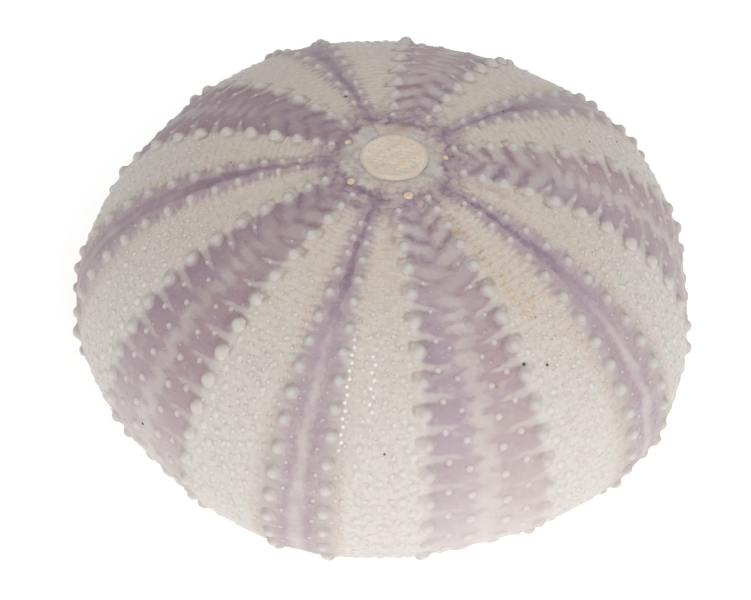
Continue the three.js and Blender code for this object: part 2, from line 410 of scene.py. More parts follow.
def setOut(name, shape, places, material):
    # places: columns turn, arc, size, height factor
    points, faces = modelKnob(shape)
    turn, arc, size, stand = places.T
    polar = polarAt(arc)
    down, around, out = surfaceAxes(turn, polar)
    centre = surface(turn, polar) + out * skinRelief(turn, arc)[:, None] * knobSetting["bedding"]
    draw = np.random.default_rng(len(places))
    spin = draw.uniform(0, 2 * math.pi, len(places))
    lean = draw.normal(0, knobSetting["lean"], (len(places), 2))
    cosSpin, sinSpin = np.cos(spin)[:, None], np.sin(spin)[:, None]
    east = around * cosSpin + down * sinSpin
    north = down * cosSpin - around * sinSpin
    up = out + around * lean[:, :1] + down * lean[:, 1:]
    px, py, pz = points.T
    cloud = (centre[:, None] + east[:, None] * (px[None, :, None] * size[:, None, None])
             - north[:, None] * (py[None, :, None] * size[:, None, None])
             + up[:, None] * (pz[None, :, None] * (size * stand)[:, None, None]))
    allPoints = cloud.reshape(-1, 3)
    count = len(points)
    allFaces = [[v + k * count for v in face] for k in range(len(places)) for face in faces]
    mesh = bpy.data.meshes.new(name)
    mesh.from_pydata((allPoints * mm).tolist(), [], allFaces)
    piece = bpy.data.objects.new(name, mesh)
    bpy.context.scene.collection.objects.link(piece)
    tip = np.clip(pz / shape["top"], 0, 1)
    local = np.einsum("kpi,ki->kp", cloud - centre[:, None], down)
    storeGrowth(piece, (arc[:, None] + local).ravel(), np.tile(tip, len(places)),
                np.full(len(allPoints), shape["pearl"]))
    mesh.polygons.foreach_set("use_smooth", np.ones(len(mesh.polygons), bool))
    finishPiece(piece, name, material, None)
    return piece


# Families of knobs, one knob on each plate. offset is in degrees from the band's middle, or None
# for the band's own row. phase is in plates below the big knob. from and to are arcs.
knobFamilies = [
    {"kind": "big", "band": "wide", "offset": None, "phase": 0.0, "from": 7.9, "to": 85,
     "size": 0.98, "young": 0.68, "grow": 20, "jitter": 0.03},
    {"kind": "big", "band": "narrow", "offset": None, "phase": 0.0, "from": 10, "to": 85,
     "size": 0.98, "young": 0.5, "grow": 32, "jitter": 0.07},
    {"kind": "middling", "band": "wide", "offset": 14.6, "phase": 0.35, "from": 24, "to": 84,
     "size": 0.62, "young": 0.4, "grow": 22, "jitter": 0.08},
    {"kind": "middling", "band": "wide", "offset": 16.4, "phase": 0.85, "from": 25, "to": 84,
     "size": 0.58, "young": 0.4, "grow": 22, "jitter": 0.08},
    {"kind": "middling", "band": "wide", "offset": 3.6, "phase": 0.03, "from": 28, "to": 84,
     "size": 0.92, "young": 0.36, "grow": 34, "jitter": 0.12},
    {"kind": "middling", "band": "wide", "offset": 7.8, "phase": 0.68, "from": 17, "to": 82,
     "size": 0.56, "young": 0.45, "grow": 26, "jitter": 0.1},
    {"kind": "middling", "band": "narrow", "offset": 11.0, "phase": 0.3, "from": 24, "to": 82,
     "size": 0.46, "young": 0.5, "grow": 25, "jitter": 0.1},
    {"kind": "middling", "band": "narrow", "offset": 15.3, "phase": 0.7, "from": 28, "to": 80,
     "size": 0.42, "young": 0.5, "grow": 25, "jitter": 0.12},
    {"kind": "middling", "band": "narrow", "offset": 2.8, "phase": 0.5, "from": 33, "to": 82,
     "size": 0.42, "young": 0.5, "grow": 25, "jitter": 0.12},
    {"kind": "small", "band": "narrow", "offset": 6.9, "phase": 0.5, "from": 20, "to": 82,
     "size": 0.26, "young": 0.6, "grow": 20, "jitter": 0.15},
    {"kind": "small", "band": "wide", "offset": 9.9, "phase": 0.2, "from": 22, "to": 82,
     "size": 0.17, "young": 0.6, "grow": 20, "jitter": 0.3},
    {"kind": "small", "band": "wide", "offset": 5.8, "phase": 0.25, "from": 20, "to": 82,
     "size": 0.17, "young": 0.6, "grow": 20, "jitter": 0.35},
    {"kind": "small", "band": "wide", "offset": 1.6, "phase": 0.6, "from": 26, "to": 82,
     "size": 0.17, "young": 0.6, "grow": 20, "jitter": 0.35},
    {"kind": "small", "band": "narrow", "offset": 3.8, "phase": 0.1, "from": 22, "to": 82,
     "size": 0.18, "young": 0.6, "grow": 20, "jitter": 0.3},
    {"kind": "small", "band": "narrow", "offset": 1.9, "phase": 0.8, "from": 26, "to": 82,
     "size": 0.16, "young": 0.6, "grow": 20, "jitter": 0.35},
    {"kind": "small", "band": "narrow", "offset": 13.2, "phase": 0.1, "from": 26, "to": 80,
     "size": 0.2, "young": 0.6, "grow": 20, "jitter": 0.3},
]
# the finest ones, scattered over the pore bands: offset, phase and size
finestKnobs = ((13.0, 0.6, 0.3), (15.6, 0.1, 0.34), (15.2, 0.55, 0.27), (18.0, 0.3, 0.36),
               (18.4, 0.8, 0.3), (20.6, 0.1, 0.34), (20.4, 0.6, 0.28), (23.0, 0.35, 0.34),
               (23.2, 0.85, 0.28), (25.4, 0.1, 0.3), (25.2, 0.6, 0.34), (27.6, 0.9, 0.26))
for offset, phase, size in finestKnobs:
    knobFamilies.append({"kind": "small", "band": "wide", "offset": offset, "phase": phase,
                         "from": 21, "to": 80, "size": size, "young": 0.5, "grow": 30,
                         "jitter": 0.24})


def familyPlaces(family, draw):
    wide = family["band"] == "wide"
    row = wideRow if wide else narrowRow
    arcs, first = (rowArcsWide, firstWide) if wide else (rowArcsNarrow, firstNarrow)
    places = []
    for band in range(shellShape["bands"]):
        middle = band * shellShape["bandAngle"] + (0 if wide else shellShape["bandAngle"] / 2)
        for side in (1, -1):
            for plate in range(first, len(arcs) + first):
                shift = family["phase"] - (row["stagger"] if side < 0 else 0)
                arc = float(arcAtPlate(plate + shift, arcs, first))
                arc += draw.normal(0, family["jitter"])
                sizeDraw = draw.normal(1, knobSetting["sizeVaries"])
                sideDraw = draw.normal(0, family["jitter"])
                if not family["from"] < arc < family["to"]:
                    continue
                polar = float(polarAt(arc))
                radius, height = profile(polar)
                offset = family["offset"]
                if offset is None:
                    offset = rowOffset(row, polar)
                grown = min(1, max(0, (arc - family["from"]) / family["grow"]))
                size = family["size"] * (family["young"] + (1 - family["young"]) * grown) * sizeDraw
                worn = min(1, max(0, (arc - knobSetting["wornFrom"]) / knobSetting["wornOver"]))
                size *= 1 - knobSetting["wornShare"] * worn
                room = float(height) + shellShape["restDepth"]
                stand = min(1, max(knobSetting["lowest"], (room - 0.05) / (0.8 * size)))
                turn = middle + side * offset + math.degrees(sideDraw / float(radius))
                places.append((turn, arc, size, stand))
    return places


def makeKnobs(material):
    draw = np.random.default_rng(knobSetting["seed"])
    byKind = {"big": [], "middling": [], "small": []}
    for family in knobFamilies:
        byKind[family["kind"]] += familyPlaces(family, draw)
    for kind, places in byKind.items():
        setOut(kind + "Knobs", knobShapes[kind], np.array(places), material)


# Old wax-coloured fillings in the egg pores at the crown: turn, arc, size, height factor
eggPores = ((-2.0, 6.8, 0.62, 1.0), (-71.5, 6.6, 0.58, 1.0), (-138.5, 6.4, 0.52, 1.0),
            (75.0, 6.75, 0.46, 0.9), (146.0, 6.5, 0.36, 0.5))
# Specks of dirt caught on the shell: turn, arc, size, height factor
sootSpecks = ((12.5, 34.3, 0.3, 0.7), (17.6, 35.5, 0.24, 0.8), (-175.0, 14.0, 0.24, 0.8),
              (40.5, 14.4, 0.22, 0.8), (30.0, 11.7, 0.18, 0.8), (108.2, 18.6, 0.2, 0.8),
              (106.5, 14.3, 0.18, 0.8), (91.8, 28.9, 0.16, 0.8), (95.8, 35.2, 0.16, 0.8),
              (-20.2, 42.3, 0.2, 0.8), (-73.2, 52.8, 0.2, 0.8), (77.5, 7.8, 0.22, 0.8),
              (-128.0, 5.3, 0.2, 0.8), (66.0, 5.9, 0.16, 0.7), (100.0, 5.6, 0.15, 0.7),
              (33.0, 16.4, 0.14, 0.8))
rustSpecks = ((4.8, 36.0, 0.32, 0.4), (-115.5, 21.1, 0.22, 0.6), (62.0, 15.2, 0.2, 0.5),
              (21.0, 29.4, 0.16, 0.6))


# Materials of the small finds: the darker and the lighter colour of each
speckColours = {
    "driedWax": ((0.80, 0.56, 0.39), (0.92, 0.76, 0.60)),
    "soot": ((0.07, 0.05, 0.045), (0.20, 0.15, 0.13)),
    "rustStain": ((0.46, 0.25, 0.19), (0.56, 0.36, 0.28)),
}


def speckMaterial(name):
    material = bpy.data.materials.new(name)
    b = NodeBench(material)
    grain = b.noise(b.objectPlace(), 2500.0, 2.0, 0.6)
    tint = b.colour(*speckColours[name], b.ramp(grain, 0.35, 0.65))
    b.links.new(tint, b.shader.inputs["Base Color"])
    b.shader.inputs["Roughness"].default_value = 0.6
    b.bump(grain, 0.4, 0.08)
    return material


def makeSmallFinds():
    for name, shape, places, material in (("eggPoreFillings", "plug", eggPores, "driedWax"),
                                          ("darkSpecks", "grain", sootSpecks, "soot"),
                                          ("rustSpecks", "grain", rustSpecks, "rustStain")):
        setOut(name, knobShapes[shape], np.array(places), speckMaterial(material))


# The dried membrane inside the crown ring. Sizes in mm.
membrane = {
    "radius": 4.34,
    "sink": 0.22,
    "lip": 0.07,
    "dip": 0.05,
    "edgeFall": 0.16,
    "grain": 0.085,
    "depth": 0.6,
    "ventX": 0.64,
    "ventY": -0.85,
    "glow": 0.2,
    "cream": (0.86, 0.75, 0.63),
    "creamShade": (0.80, 0.68, 0.55),
    "grainShade": (0.60, 0.49, 0.40),
    "ventStain": (0.86, 0.62, 0.36),
    # edge colour: partly the ring's grey, partly painted shade of the groove round the disc
    "rim": (0.68, 0.615, 0.545),
}


def makeMembrane(material):
    bpy.ops.mesh.primitive_uv_sphere_add(segments=160, ring_count=80, radius=1.0)
    piece = bpy.context.object
    start = getCoordinates(piece)
    spread = np.hypot(start[:, 0], start[:, 1])
    top = start[:, 2] >= 0
    part = (np.arctan2(spread, np.abs(start[:, 2])) / (math.pi / 2)) ** 0.8
    azimuth = np.arctan2(start[:, 1], start[:, 0])
    outline = 1 + 0.02 * np.cos(2 * azimuth + 0.7) + 0.014 * np.cos(5 * azimuth)
    outline += 0.008 * np.sin(9 * azimuth)
    radius = membrane["radius"] * part * outline
    level = crownHigh.z / mm - 0.05
    lip = membrane["lip"] * np.exp(-((part - 0.87) / 0.07) ** 2)
    dip = -membrane["dip"] * (1 - part ** 2)
    fall = -membrane["edgeFall"] * np.clip((part - 0.86) / 0.14, 0, 1) ** 1.6
    points = np.stack([axisX + skin["crownShift"][0] + radius * np.cos(azimuth),
                       axisY + skin["crownShift"][1] + radius * np.sin(azimuth),
                       level - membrane["sink"] + lip + dip + fall], -1)
    grain = makerNoise(points, 0.13, 21) * 0.6 + makerNoise(points, 0.32, 22) * 0.7
    points[:, 2] += membrane["grain"] * grain * np.clip((0.82 - part) / 0.08, 0, 1)
    points[:, 2] = np.minimum(points[:, 2], crownHigh.z / mm - 0.005)
    low = level - 0.5 - membrane["depth"] * np.clip((1 - part) / 0.08, 0, 1)
    points[:, 2] = np.where(top, points[:, 2], low)
    setCoordinates(piece, points)
    clearSelection()
    piece.select_set(True)
    bpy.ops.object.shade_smooth()
    finishPiece(piece, "crownMembrane", material, "crown_membrane")


class NodeBench:
    # short names for the shader nodes that a pattern is built from
    def __init__(self, material):
        material.use_nodes = True
        self.nodes = material.node_tree.nodes
        self.links = material.node_tree.links
        self.shader = self.nodes["Principled BSDF"]

    def put(self, socket, value):
        if isinstance(value, bpy.types.NodeSocket):
            self.links.new(value, socket)
        else:
            socket.default_value = value

    def math(self, operation, first, second=0.0, third=0.0):
        node = self.nodes.new("ShaderNodeMath")
        node.operation = operation
        for socket, value in zip(node.inputs, (first, second, third)):
            self.put(socket, value)
        return node.outputs[0]

    def add(self, first, second):
        return self.math("ADD", first, second)

    def sub(self, first, second):
        return self.math("SUBTRACT", first, second)

    def mul(self, first, second, *more):
        result = self.math("MULTIPLY", first, second)
        for value in more:
            result = self.math("MULTIPLY", result, value)
        return result

    def div(self, first, second):
        return self.math("DIVIDE", first, second)

    def size(self, value):
        return self.math("ABSOLUTE", value)

    def most(self, first, second):
        return self.math("MAXIMUM", first, second)

    def least(self, first, second):
        return self.math("MINIMUM", first, second)

    def ramp(self, value, low, high, bottom=0.0, top=1.0):
        # smooth step from bottom to top as the value passes low to high
        node = self.nodes.new("ShaderNodeMapRange")
        node.interpolation_type = "SMOOTHSTEP"
        for name, number in (("Value", value), ("From Min", low), ("From Max", high),
                             ("To Min", bottom), ("To Max", top)):
            self.put(node.inputs[name], number)
        return node.outputs[0]

    def bell(self, value, width):
        # 1 at zero, falling off over the width
        return self.ramp(self.size(value), width, 0.0)

    def wholeDistance(self, value, shift=0.0):
        # distance to the nearest whole number, 0 to 0.5
        part = self.math("FRACT", self.add(value, 0.5 + shift))
        return self.sub(part, 0.5)

    def colour(self, base, top, amount):
        node = self.nodes.new("ShaderNodeMix")
        node.data_type = "RGBA"
        self.put(node.inputs[0], amount)
        for socket, value in ((node.inputs[6], base), (node.inputs[7], top)):
            self.put(socket, (*value, 1.0) if isinstance(value, tuple) else value)
        return node.outputs[2]

    def attribute(self, name):
        node = self.nodes.new("ShaderNodeAttribute")
        node.attribute_name = name
        split = self.nodes.new("ShaderNodeSeparateXYZ")
        self.links.new(node.outputs["Vector"], split.inputs[0])
        return split.outputs

    def objectPlace(self):
        node = self.nodes.new("ShaderNodeTexCoord")
        return node.outputs["Object"]

    def noise(self, place, scale, detail=2.0, roughness=0.5, colour=False):
        node = self.nodes.new("ShaderNodeTexNoise")
        self.links.new(place, node.inputs["Vector"])
        node.inputs["Scale"].default_value = scale
        node.inputs["Detail"].default_value = detail
        node.inputs["Roughness"].default_value = roughness
        return node.outputs["Color" if colour else "Fac"]

    def noiseAxes(self, place, scale, detail, roughness):
        # three unrelated values, each about -0.25 to 0.25
        split = self.nodes.new("ShaderNodeSeparateXYZ")
        self.links.new(self.noise(place, scale, detail, roughness, True), split.inputs[0])
        return [self.sub(output, 0.5) for output in split.outputs]

    def cells(self, place, scale):
        # distance from the nearest of many scattered points, in cells
        node = self.nodes.new("ShaderNodeTexVoronoi")
        self.links.new(place, node.inputs["Vector"])
        node.inputs["Scale"].default_value = scale
        return node.outputs["Distance"]

    def length(self, across, along):
        return self.math("SQRT", self.add(self.math("MULTIPLY", across, across),
                                          self.math("MULTIPLY", along, along)))

    def bump(self, height, strength, depth):
        node = self.nodes.new("ShaderNodeBump")
        node.inputs["Strength"].default_value = strength
        node.inputs["Distance"].default_value = depth * mm
        self.links.new(height, node.inputs["Height"])
        self.links.new(node.outputs[0], self.shader.inputs["Normal"])

    def join(self, x, y, z=0.0):
        node = self.nodes.new("ShaderNodeCombineXYZ")
        for socket, value in zip(node.inputs, (x, y, z)):
            self.put(socket, value)
        return node.outputs[0]


calcite = {
    "cream": (0.76, 0.675, 0.59),
    "white": (0.78, 0.73, 0.687),
    "groundShade": (0.57, 0.495, 0.455),
    "lavender": (0.505, 0.402, 0.45),
    "mauve": (0.53, 0.40, 0.42),
    "deepPurple": (0.27, 0.18, 0.26),
    # a darker plum for one side of the shell: partly its own colour, partly painted shade
    "duskPlum": (0.30, 0.19, 0.235),
    "plumBrown": (0.43, 0.33, 0.335),
    "paleSeam": (0.66, 0.59, 0.565),
    # brown for marks round the knobs and egg pores, also used for painted shade above the knobs
    "brownMarkAndShade": (0.33, 0.26, 0.22),
    "knobWhite": (0.65, 0.625, 0.59),
    "dotPink": (0.70, 0.64, 0.635),
    "knobPale": (0.755, 0.715, 0.68),
    "dotPale": (0.85, 0.80, 0.765),
    "innerWhite": (0.74, 0.70, 0.655),
    "poreBrown": (0.50, 0.33, 0.20),
    "peach": (0.74, 0.60, 0.51),
    "stainYellow": (0.66, 0.48, 0.16),
    "stainBrown": (0.50, 0.36, 0.25),
    "ringGrey": (0.645, 0.59, 0.545),
    "ringWarm": (0.65, 0.56, 0.475),
    "sievePlate": (0.44, 0.37, 0.34),
    # painted light seen through the open pores
    "pinholeLight": (0.99, 0.97, 0.95),
    "roughness": 0.65,
    "gloss": 0.35,
    "glow": 0.45,          # how much light wanders in under the surface
    "glowReach": 1.3,
    "glowColours": (1.0, 0.8, 0.7),
}
# Sizes of the painted pattern. Widths in mm, offsets in degrees from a band's middle.
pattern = {
    "wander": 1.5,         # how far painted lines stray from true
    "edgeSoft": 0.10,      # softness of a wide band's edge, as a share of its half width
    "wedgeReach": 0.24,    # how far in a pale wedge starts, as a share of the half width
    "wedgeWidth": 0.19,    # in plates, at the row
    "midWidth": 1.0,
    "midZig": 3.6,
    "frameHalf": 1.2,
    "combReach": 4.6,
    "poreColumns": ((8.0, 0.25), (13.2, 0.55), (17.4, 0.6)),
    "poreRadius": 0.2,
    "pinholeRows": ((-28.9, 0.12, 34.8, 8.6), (-23.4, 0.24, 33.4, 5.6)),
    "brownStains": ((14.0, 14.5, 4.5), (51.5, 15.0, 6.0), (-20.0, 13.0, 3.5)),
    "madreporite": (-117, 6.4),
    "crownStain": (146, 5.6),
    "duskTurn": -118.0,    # the side of the shell painted darker, and by how much: partly its own darker colour, partly painted shade where the light falls away on that side
    "duskGround": 0.16,
    "duskWide": 0.44,
    "duskNarrow": 0.46,
    "duskWedge": 0.42,
    "duskMidline": 0.5,
    "duskWhitening": 0.5,
    "pebbleScale": 1500.0,
    "knobWhitening": 0.92,
    "dotWhitening": 0.56,
    "innerWhitening": 0.8,
}
# Unevenness that the paint reads: noise scale, detail and roughness
unevenness = {
    "wander": (420.0, 3.0, 0.6),
    "jagged": (1100.0, 2.0, 0.5),
    "slow": (90.0, 1.0, 0.5),      # as large as a fifth of the shell
    "patch": (300.0, 2.0, 0.5),    # as large as a plate
    "grain": (2400.0, 2.0, 0.65),
    "cloud": (750.0, 2.0, 0.5),    # as large as a knob
}


def shellFields(b):
    # what the paint is worked out from: place round the shell, down it, and on its plate
    f = {}
    place = f["place"] = b.objectPlace()
    split = b.nodes.new("ShaderNodeSeparateXYZ")
    b.links.new(place, split.inputs[0])
    x = b.sub(split.outputs[0], axisX * mm)
    y = b.sub(split.outputs[1], axisY * mm)
    azimuth = b.math("DEGREES", b.math("ARCTAN2", y, x))
    swing = b.sub(azimuth, shellShape["wideAzimuth"])
    swayed = b.mul(b.math("COSINE", b.math("RADIANS", swing)), shellShape["sway"])
    f["arc"], radius, f["tip"] = b.attribute("place")
    platesWide, platesNarrow, _ = b.attribute("plates")
    f["rowWide"], f["rowNarrow"], f["pearl"] = b.attribute("rows")
    f["degree"] = b.mul(radius, math.pi / 180)

    wanderX, wanderY = b.noiseAxes(place, *unevenness["wander"])[:2]
    for name in ("jagged", "slow", "patch", "grain", "cloud"):
        f[name] = b.sub(b.noise(place, *unevenness[name]), 0.5)
    along = b.join(b.mul(x, 420.0), b.mul(y, 420.0), b.mul(f["arc"], 1.7))
    f["streak"] = b.sub(b.noise(along, 1.0, 3.0, 0.6), 0.5)
    f["pebble"] = b.cells(place, pattern["pebbleScale"])
    f["aged"] = b.add(f["arc"], b.mul(f["slow"], 18))

    turn = b.add(swing, swayed)
    f["turn"] = turn
    # one side painted darker: partly the shell's own darker colour, partly painted shade where the
    # light falls away
    fromTintAndShadeSide = b.math("COSINE", b.math("RADIANS", b.sub(turn, pattern["duskTurn"])))
    f["dusk"] = b.mul(b.ramp(fromTintAndShadeSide, 0.15, 0.9), b.ramp(f["arc"], 68, 30))
    painted = b.add(turn, b.div(b.mul(wanderX, pattern["wander"]), f["degree"]))
    early = b.ramp(f["arc"], 24, 10, 0.25, 0.8)
    shiftedWide = b.add(platesWide, b.mul(wanderY, early))
    shiftedNarrow = b.add(platesNarrow, b.mul(wanderY, 0.5))
    whole = shellShape["bandAngle"]
    f["wide"] = b.mul(b.wholeDistance(b.div(painted, whole)), whole)
    f["narrow"] = b.mul(b.wholeDistance(b.div(painted, whole), 0.5), whole)
    f["fromWide"] = b.size(f["wide"])
    f["fromNarrow"] = b.size(f["narrow"])
    wideSide = b.math("LESS_THAN", f["wide"], 0.0)
    f["narrowSide"] = b.math("LESS_THAN", f["narrow"], 0.0)
    f["zigWide"] = shiftedWide
    f["plateWide"] = b.wholeDistance(b.add(shiftedWide, b.mul(wideSide, wideRow["stagger"])))
    f["platesNarrow"] = platesNarrow
    staggered = b.add(shiftedNarrow, b.mul(f["narrowSide"], narrowRow["stagger"]))
    f["plateNarrow"] = b.wholeDistance(staggered)
    f["lines"] = b.size(b.wholeDistance(b.mul(shiftedNarrow, 3.0)))
    lengthwise = b.join(b.mul(f["narrow"], 1.1), b.mul(f["arc"], 0.16), b.mul(f["slow"], 12.0))
    f["fibre"] = b.sub(b.noise(lengthwise, 1.0, 2.0), 0.5)
    return f


def paintGround(b, f):
    # pale ground, faint cross lines and a warm tint in the pore bands
    ground = b.colour(calcite["cream"], calcite["white"], b.ramp(f["aged"], 16, 46))
    # ground painted darker on one side: partly its own colour, partly painted shade
    ground = b.colour(ground, calcite["groundShade"], b.mul(f["dusk"], pattern["duskGround"]))
    poreBand = b.mul(b.ramp(f["fromNarrow"], 5.8, 8.5), b.ramp(f["fromWide"], 12.0, 17.0))
    f["poreBand"] = poreBand
    lineShade = b.mul(b.ramp(f["lines"], 0.1, 0.5), poreBand, b.ramp(f["arc"], 50, 20, 0.05, 0.3))
    lineShade = b.mul(lineShade, b.ramp(f["jagged"], -0.2, 0.2))
    ground = b.colour(ground, calcite["groundShade"], lineShade)
    ground = b.colour(ground, calcite["groundShade"], b.ramp(f["streak"], 0.0, 0.3, 0.0, 0.3))
    ground = b.colour(ground, calcite["groundShade"], b.ramp(f["pebble"], 0.4, 0.8, 0.0, 0.3))
    ground = b.colour(ground, calcite["white"], b.ramp(f["cloud"], 0.02, 0.25, 0.0, 0.45))
    patchy = b.ramp(b.add(f["patch"], f["jagged"]), -0.2, 0.3, 0.0, 0.6)
    warm = b.mul(b.bell(b.sub(f["fromNarrow"], 8.4), 3.2), patchy)
    ground = b.colour(ground, calcite["peach"], b.mul(warm, b.ramp(f["arc"], 10, 20)))
    beside = b.mul(b.bell(b.sub(f["fromWide"], 17.0), 4.0), patchy,
                   b.ramp(f["arc"], 44, 12, 0.0, 0.5))
    return b.colour(ground, calcite["peach"], beside)


def paintWide(b, f, tint):
    # soft purple plates, parted by a pale zigzag and by wedges from the rows
    arc, jagged, aged = f["arc"], f["jagged"], f["aged"]
    across = b.div(f["fromWide"], f["rowWide"])
    soft = pattern["edgeSoft"]
    mask = b.ramp(b.add(across, b.mul(jagged, 0.1)), 1.0 + soft, 1.0 - soft)
    pinker = b.add(b.mul(f["wide"], 0.02), b.add(b.mul(f["patch"], 0.6), b.mul(f["slow"], 0.4)))
    purple = b.colour(calcite["lavender"], calcite["mauve"], b.ramp(pinker, -0.16, 0.18))
    purple = b.colour(purple, calcite["deepPurple"], b.ramp(aged, 32, 12, 0.0, 0.16))
    purple = b.colour(purple, calcite["deepPurple"], b.ramp(f["streak"], 0.0, 0.3, 0.0, 0.24))
    paler = b.ramp(b.add(f["cloud"], f["patch"]), 0.0, -0.35, 0.0, 0.5)
    purple = b.colour(purple, calcite["paleSeam"], paler)
    besideRow = b.mul(b.bell(b.sub(across, 0.78), 0.3), b.ramp(f["cloud"], -0.05, 0.15, 0.1, 0.34))
    purple = b.colour(purple, calcite["deepPurple"], b.mul(besideRow, b.ramp(arc, 44, 26)))
    # purple painted darker on one side: partly its own colour, partly painted shade
    purple = b.colour(purple, calcite["duskPlum"], b.mul(f["dusk"], pattern["duskWide"]))

    # plate edges sag towards the mouth at the band's middle
    sag = b.mul(b.sub(1.0, b.least(across, 1.0)), b.ramp(arc, 40, 18, 0.1, 0.5))
    seam = b.sub(0.5, b.size(b.wholeDistance(b.sub(f["plateWide"], sag))))
    taper = b.most(b.sub(across, pattern["wedgeReach"]), 0.0)
    width = b.mul(taper, pattern["wedgeWidth"] / (1 - pattern["wedgeReach"]))
    wedge = b.ramp(b.add(seam, b.mul(jagged, 0.06)), b.add(width, 0.05), b.mul(width, 0.3))
    # pale wedges dimmed on the side painted darker, partly as painted shade
    wedge = b.mul(wedge, b.ramp(across, pattern["wedgeReach"], 0.6), b.ramp(arc, 62, 34, 0.4, 1.0),
                  b.sub(1.0, b.mul(f["dusk"], pattern["duskWedge"])))

    # the zigzag where the two halves meet, swelling at each plate's corner
    zig = b.mul(b.sub(b.size(b.wholeDistance(f["zigWide"], 0.25)), 0.25), pattern["midZig"])
    middle = b.mul(b.size(b.sub(f["wide"], zig)), f["degree"])
    corner = b.size(b.wholeDistance(b.mul(f["zigWide"], 2.0)))
    knots = b.ramp(b.add(corner, b.mul(jagged, 0.5)), 0.45, 0.05)
    width = b.mul(b.ramp(arc, 16, 62, 1.0, 2.2), b.mul(b.add(knots, 0.4), pattern["midWidth"]))
    midline = b.ramp(b.add(middle, b.mul(jagged, 1.2)), b.add(width, 0.9), b.mul(width, 0.2))
    midline = b.mul(midline, b.ramp(aged, 13, 27, 0.3, 1.0),
                    b.ramp(f["patch"], 0.25, -0.15, 0.55, 1.0))
    # pale zigzag dimmed on the side painted darker, partly as painted shade
    midline = b.mul(midline, b.sub(1.0, b.mul(f["dusk"], pattern["duskMidline"])),
                    b.ramp(b.add(knots, b.ramp(arc, 20, 42)), 0.1, 0.8, 0.4, 1.0))

    # near the crown: slanting strokes with pale lozenges between them
    young = b.mul(b.ramp(b.add(arc, b.mul(f["patch"], 8.0)), 28, 15),
                  b.ramp(across, 0.0, 0.3, 0.3, 1.0))
    ragged = b.add(b.mul(f["cloud"], 0.5), b.mul(jagged, 0.3))
    # pale lozenges dimmed on the side painted darker, partly as painted shade
    between = b.mul(b.ramp(b.add(seam, ragged), 0.12, 0.36), b.sub(0.75, b.mul(f["dusk"], 0.55)))
    purple = b.colour(purple, calcite["paleSeam"], b.mul(young, between))
    stroke = b.ramp(b.add(seam, b.mul(ragged, 0.8)), 0.13, 0.0)
    stroke = b.mul(young, stroke, b.ramp(arc, 8, 14, 0.2, 0.6))
    purple = b.colour(purple, calcite["deepPurple"], stroke)
    partings = b.mul(b.most(wedge, midline), b.ramp(arc, 14, 22))
    purple = b.colour(purple, calcite["paleSeam"], partings)
    # less whitening on the side painted darker, partly as painted shade
    whitening = b.mul(b.ramp(aged, 34, 66, 0.0, 0.72),
                      b.sub(1.0, b.mul(f["dusk"], pattern["duskWhitening"])))
    purple = b.colour(purple, calcite["white"], whitening)
    return b.colour(tint, purple, mask)


def paintNarrow(b, f, tint):
    # a dark core near the crown, later two purple stripes with a pale one between
    arc, jagged, aged, fromNarrow = f["arc"], f["jagged"], f["aged"], f["fromNarrow"]
    comb = b.mul(b.ramp(b.add(f["lines"], b.mul(jagged, 0.5)), 0.05, 0.5),
                 b.ramp(arc, 50, 20, 0.3, 1.7))
    edge = b.add(b.sub(fromNarrow, comb), b.mul(f["streak"], 3.0))
    edge = b.add(edge, b.ramp(arc, 32, 54, 0.0, 0.8))
    mask = b.ramp(edge, pattern["combReach"] + 3.4, pattern["combReach"] - 2.2)
    mask = b.mul(mask, b.ramp(b.add(f["patch"], f["streak"]), 0.4, -0.2, 0.65, 1.0))
    warmth = b.add(fromNarrow, b.add(b.mul(jagged, 3), b.mul(f["patch"], 6.0)))
    plum = b.colour(calcite["lavender"], calcite["plumBrown"], b.ramp(warmth, 2.4, 5.6, 0.0, 0.7))
    paler = b.ramp(b.add(f["cloud"], b.mul(f["fibre"], 0.6)), 0.0, 0.25, 0.0, 0.5)
    plum = b.colour(plum, calcite["dotPink"], paler)
    frayed = b.add(fromNarrow, b.add(b.mul(jagged, 2.4), b.mul(f["fibre"], 5.0)))
    core = b.mul(b.ramp(frayed, 3.4, 0.5), b.ramp(aged, 36, 14, 0.15, 1.0))
    core = b.mul(core, b.ramp(f["streak"], -0.25, 0.15, 0.55, 1.0))
    plum = b.colour(plum, calcite["deepPurple"], core)
    plum = b.colour(plum, calcite["paleSeam"], b.ramp(f["streak"], 0.0, -0.25, 0.0, 0.35))
    width = b.ramp(arc, 26, 62, 0.7, 2.1)
    stripe = b.add(b.size(f["narrow"]), b.add(b.mul(jagged, 1.2), b.mul(f["fibre"], 2.0)))
    stripe = b.ramp(stripe, b.add(width, 0.8), b.mul(width, 0.1))
    stripe = b.mul(stripe, b.ramp(aged, 22, 44, 0.0, 0.7), b.ramp(f["patch"], -0.3, 0.1, 0.6, 1.0))
    plum = b.colour(plum, calcite["white"], stripe)
    # plum painted darker on one side, partly as painted shade, and a little darker further down
    darker = b.add(b.mul(f["dusk"], pattern["duskNarrow"]), b.ramp(arc, 26, 52, 0.02, 0.13))
    plum = b.colour(plum, calcite["duskPlum"], darker)
    twoStripes = b.ramp(b.size(b.sub(fromNarrow, 3.2)), 2.0, 0.4, 0.0, 0.72)
    plum = b.colour(plum, calcite["lavender"], twoStripes)
    plum = b.colour(plum, calcite["white"], b.ramp(arc, 58, 82, 0.0, 0.36))
    return b.colour(tint, plum, mask)


